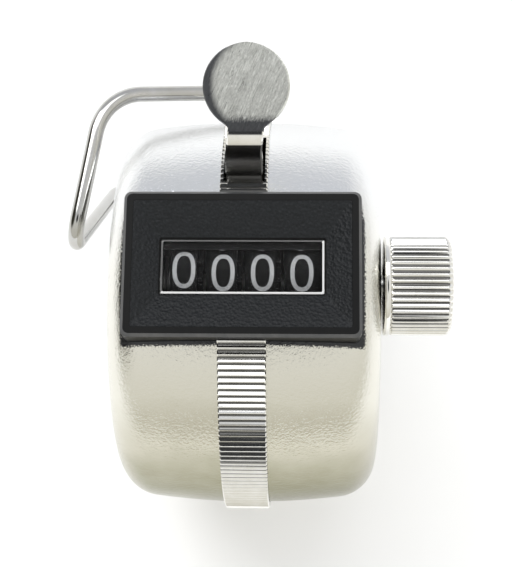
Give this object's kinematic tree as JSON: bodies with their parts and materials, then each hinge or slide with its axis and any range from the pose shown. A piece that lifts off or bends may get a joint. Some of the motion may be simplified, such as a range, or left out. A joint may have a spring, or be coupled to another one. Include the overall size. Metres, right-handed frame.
{
  "type": "hand tally counter",
  "caption": "Round metal hand tally counter with thumb lever, number window, knurled reset knob and swinging finger ring.",
  "frame": {"origin": "middle of the flat rest on the back of the drum, under the drum axis", "axes": "+X along the drum axis towards the reset knob, +Y towards the thumb lever, +Z out of the number window"},
  "size_m": [0.0416, 0.0483, 0.0505],
  "materials": {
    "satin_chrome": "satin plated, fine orange peel",
    "bright_chrome": "bright plated",
    "black_plastic": "leather grained moulding",
    "clear_lens": "clear moulded",
    "wheel_plastic": "black with light grey printed numerals",
    "zinc_steel": "zinc plated",
    "spring_steel": "oiled spring steel",
    "turned_brass": "turned"
  },
  "bodies": {
    "casing": {"right_shell": "satin_chrome", "left_shell": "satin_chrome", "rib_band": "bright_chrome", "bezel": "black_plastic", "window_lens": "clear_lens", "right_frame_plate": "zinc_steel", "left_frame_plate": "zinc_steel", "frame_spacers": "zinc_steel", "frame_screws": "zinc_steel", "shaft_bushes": "turned_brass", "lever_stop": "zinc_steel", "pinion_shaft": "zinc_steel", "pinion_shaft_clips": "spring_steel", "lever_spring": "spring_steel", "detent_leaf": "spring_steel", "ring_strap": "bright_chrome", "strap_rivets": "bright_chrome"},
    "reset": {"reset_shaft": "zinc_steel", "reset_knob": "bright_chrome", "shaft_clip": "spring_steel"},
    "units": {"units_wheel": "wheel_plastic", "units_ratchet": "turned_brass"},
    "tens": {"tens_wheel": "wheel_plastic"},
    "hundreds": {"hundreds_wheel": "wheel_plastic"},
    "thousands": {"thousands_wheel": "wheel_plastic"},
    "tens_carry": {"tens_pinion": "turned_brass"},
    "hundreds_carry": {"hundreds_pinion": "turned_brass"},
    "thousands_carry": {"thousands_pinion": "turned_brass"},
    "lever": {"thumb_lever": "bright_chrome", "pawl_pin": "zinc_steel"},
    "pawl": {"drive_pawl": "turned_brass"},
    "ring": {"finger_ring": "bright_chrome"}
  },
  "joints": [
    {"name": "lever_press", "type": "hinge", "parent": "casing", "child": "lever", "pos_m": [0, 0, 0.0367], "axis": [-1, 0, 0], "range_deg": [0, 20], "stiffness_Nm_per_rad": 0.12, "springref_deg": -11.46},
    {"name": "pawl_pivot", "type": "hinge", "parent": "lever", "child": "pawl", "pos_m": [0, 0.00609, 0.04072], "axis": [1, 0, 0], "range_deg": [0, 6], "stiffness_Nm_per_rad": 0.002, "springref_deg": -5.73},
    {"name": "reset_turn", "type": "hinge", "parent": "casing", "child": "reset", "pos_m": [0, 0, 0.0367], "axis": [1, 0, 0], "continuous": true},
    {"name": "ring_swing", "type": "hinge", "parent": "casing", "child": "ring", "pos_m": [0, 0.02355, 0.01963], "axis": [0, -0.1702, -0.9854], "range_deg": [0, 180]},
    {"name": "units_turn", "type": "hinge", "parent": "casing", "child": "units", "pos_m": [0, 0, 0.0367], "axis": [1, 0, 0], "continuous": true},
    {"name": "tens_turn", "type": "hinge", "parent": "casing", "child": "tens", "pos_m": [0, 0, 0.0367], "axis": [1, 0, 0], "continuous": true},
    {"name": "hundreds_turn", "type": "hinge", "parent": "casing", "child": "hundreds", "pos_m": [0, 0, 0.0367], "axis": [1, 0, 0], "continuous": true},
    {"name": "thousands_turn", "type": "hinge", "parent": "casing", "child": "thousands", "pos_m": [0, 0, 0.0367], "axis": [1, 0, 0], "continuous": true},
    {"name": "tens_carry_turn", "type": "hinge", "parent": "casing", "child": "tens_carry", "pos_m": [0, -0.00615, 0.03055], "axis": [1, 0, 0], "continuous": true},
    {"name": "hundreds_carry_turn", "type": "hinge", "parent": "casing", "child": "hundreds_carry", "pos_m": [0, -0.00615, 0.03055], "axis": [1, 0, 0], "continuous": true},
    {"name": "thousands_carry_turn", "type": "hinge", "parent": "casing", "child": "thousands_carry", "pos_m": [0, -0.00615, 0.03055], "axis": [1, 0, 0], "continuous": true}
  ],
  "couplings": [
    {"joint": "units_turn", "follows": "reset_turn", "ratio": 1},
    {"joint": "tens_turn", "follows": "reset_turn", "ratio": 1},
    {"joint": "hundreds_turn", "follows": "reset_turn", "ratio": 1},
    {"joint": "thousands_turn", "follows": "reset_turn", "ratio": 1},
    {"joint": "tens_carry_turn", "follows": "reset_turn", "ratio": -2.5},
    {"joint": "hundreds_carry_turn", "follows": "reset_turn", "ratio": -2.5},
    {"joint": "thousands_carry_turn", "follows": "reset_turn", "ratio": -2.5}
  ]
}
